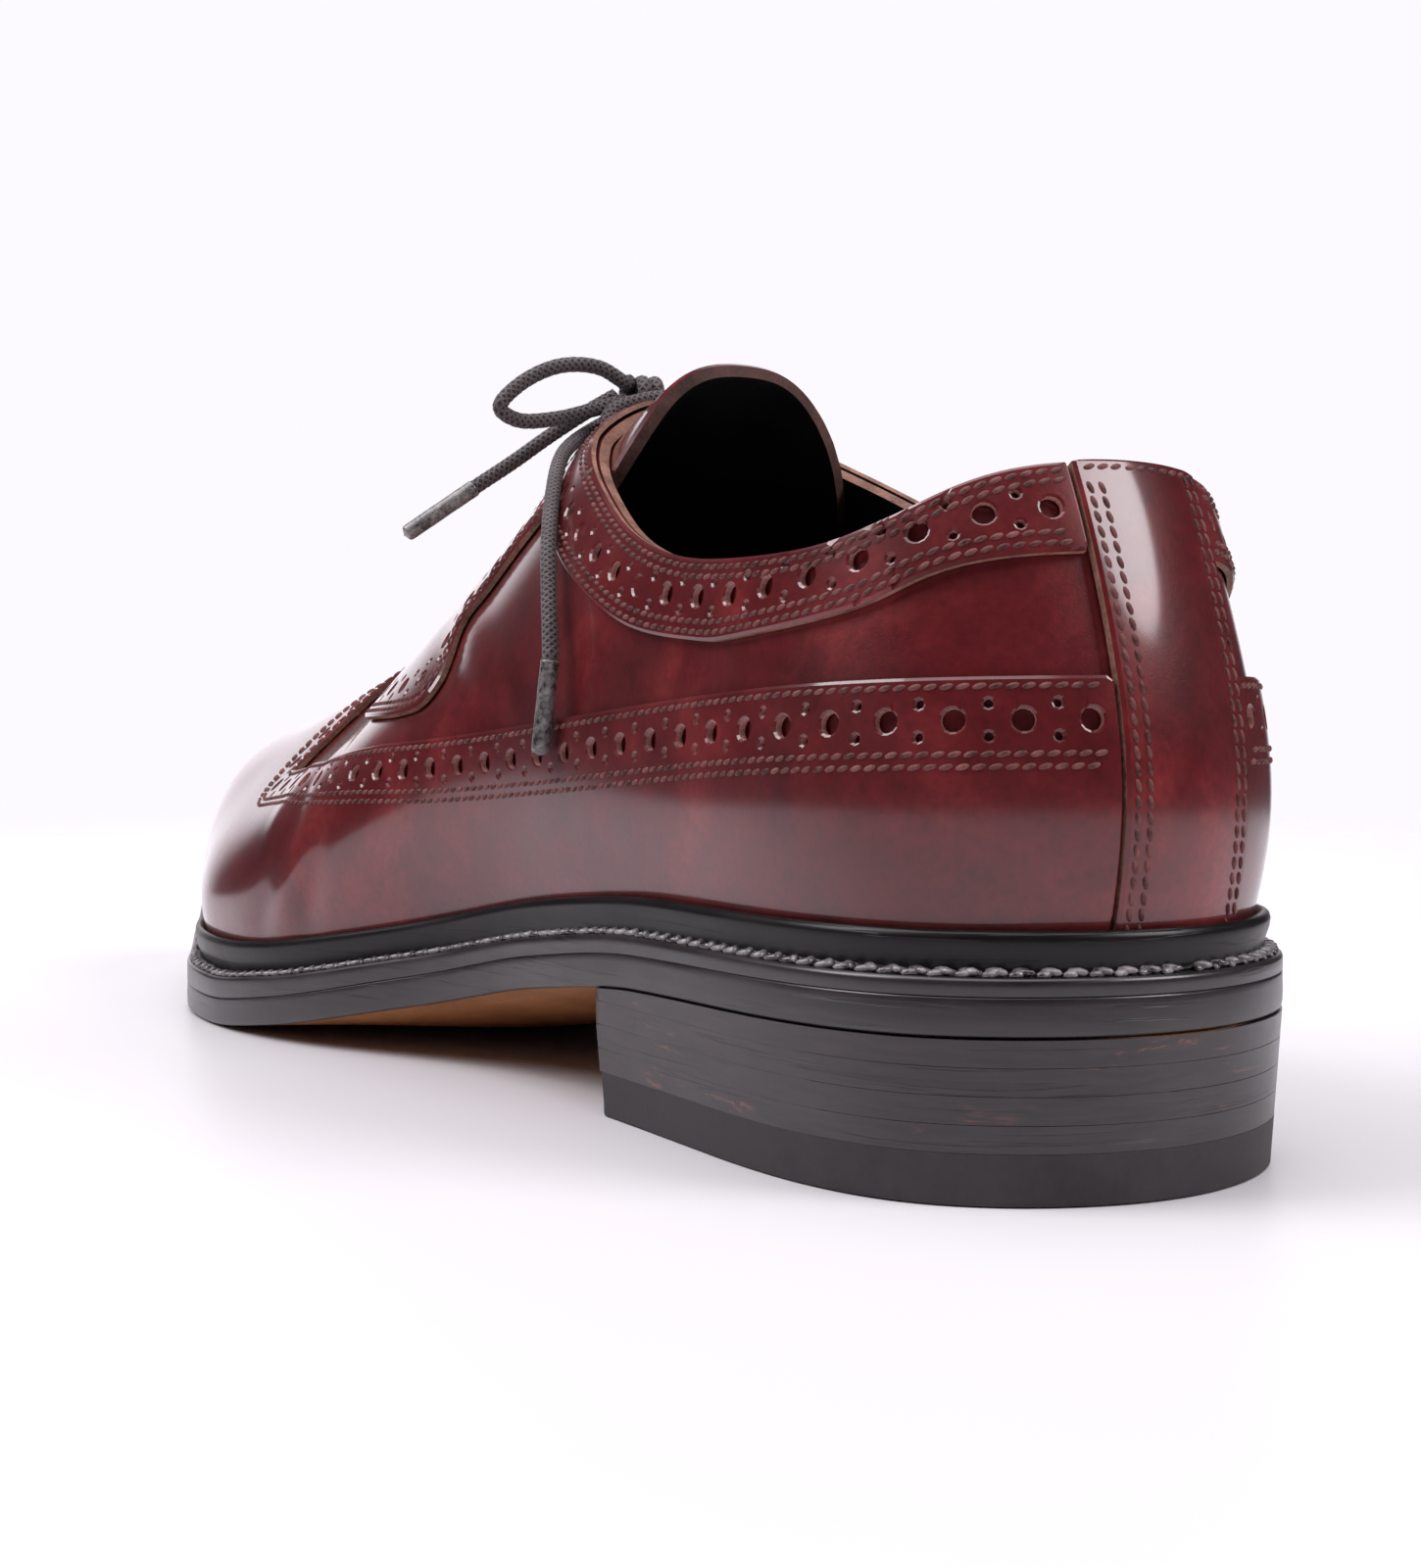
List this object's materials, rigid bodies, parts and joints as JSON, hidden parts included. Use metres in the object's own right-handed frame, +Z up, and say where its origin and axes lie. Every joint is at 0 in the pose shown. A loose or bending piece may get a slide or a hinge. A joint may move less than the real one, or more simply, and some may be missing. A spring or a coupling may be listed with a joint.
{
  "type": "longwing brogue shoe",
  "caption": "Left longwing brogue lace-up dress shoe with a storm welt, leather outsole and stacked heel; stands on its sole.",
  "frame": {"origin": "on the floor under the middle of the shoe's box, the bow left aside", "axes": "+X from heel to toe, +Y to the wearer's outer (lateral) side, +Z up"},
  "size_m": [0.3018, 0.1082, 0.1173],
  "materials": {
    "upper_leather": "polished oxblood calf",
    "tongue_leather": "polished oxblood calf, black lining",
    "welt_leather": "black storm welt, waxed",
    "outsole_leather": "tan leather underside, dark inked edge",
    "insole_leather": "black sock lining",
    "heel_leather": "stacked leather, dark brown ink",
    "heel_rubber": "matt charcoal rubber",
    "lace": "waxed round braid",
    "aglet": "clear grey plastic over braid"
  },
  "bodies": {
    "root": {"outsole": "outsole_leather", "welt": "welt_leather", "insole": "insole_leather", "top_piece": "heel_rubber", "heel_lift_1": "heel_leather", "heel_lift_2": "heel_leather", "heel_lift_3": "heel_leather", "heel_lift_4": "heel_leather", "upper": "upper_leather", "longwing": "upper_leather", "facing_lateral": "upper_leather", "facing_medial": "upper_leather", "backstrap": "upper_leather", "tongue": "tongue_leather", "lace_crossings": "lace", "lace_knot": "lace", "lace_loop_lateral": "lace", "lace_loop_medial": "lace", "lace_end_hanging": "lace", "lace_end_side": "lace", "aglet_hanging": "aglet", "aglet_side": "aglet"}
  },
  "joints": []
}
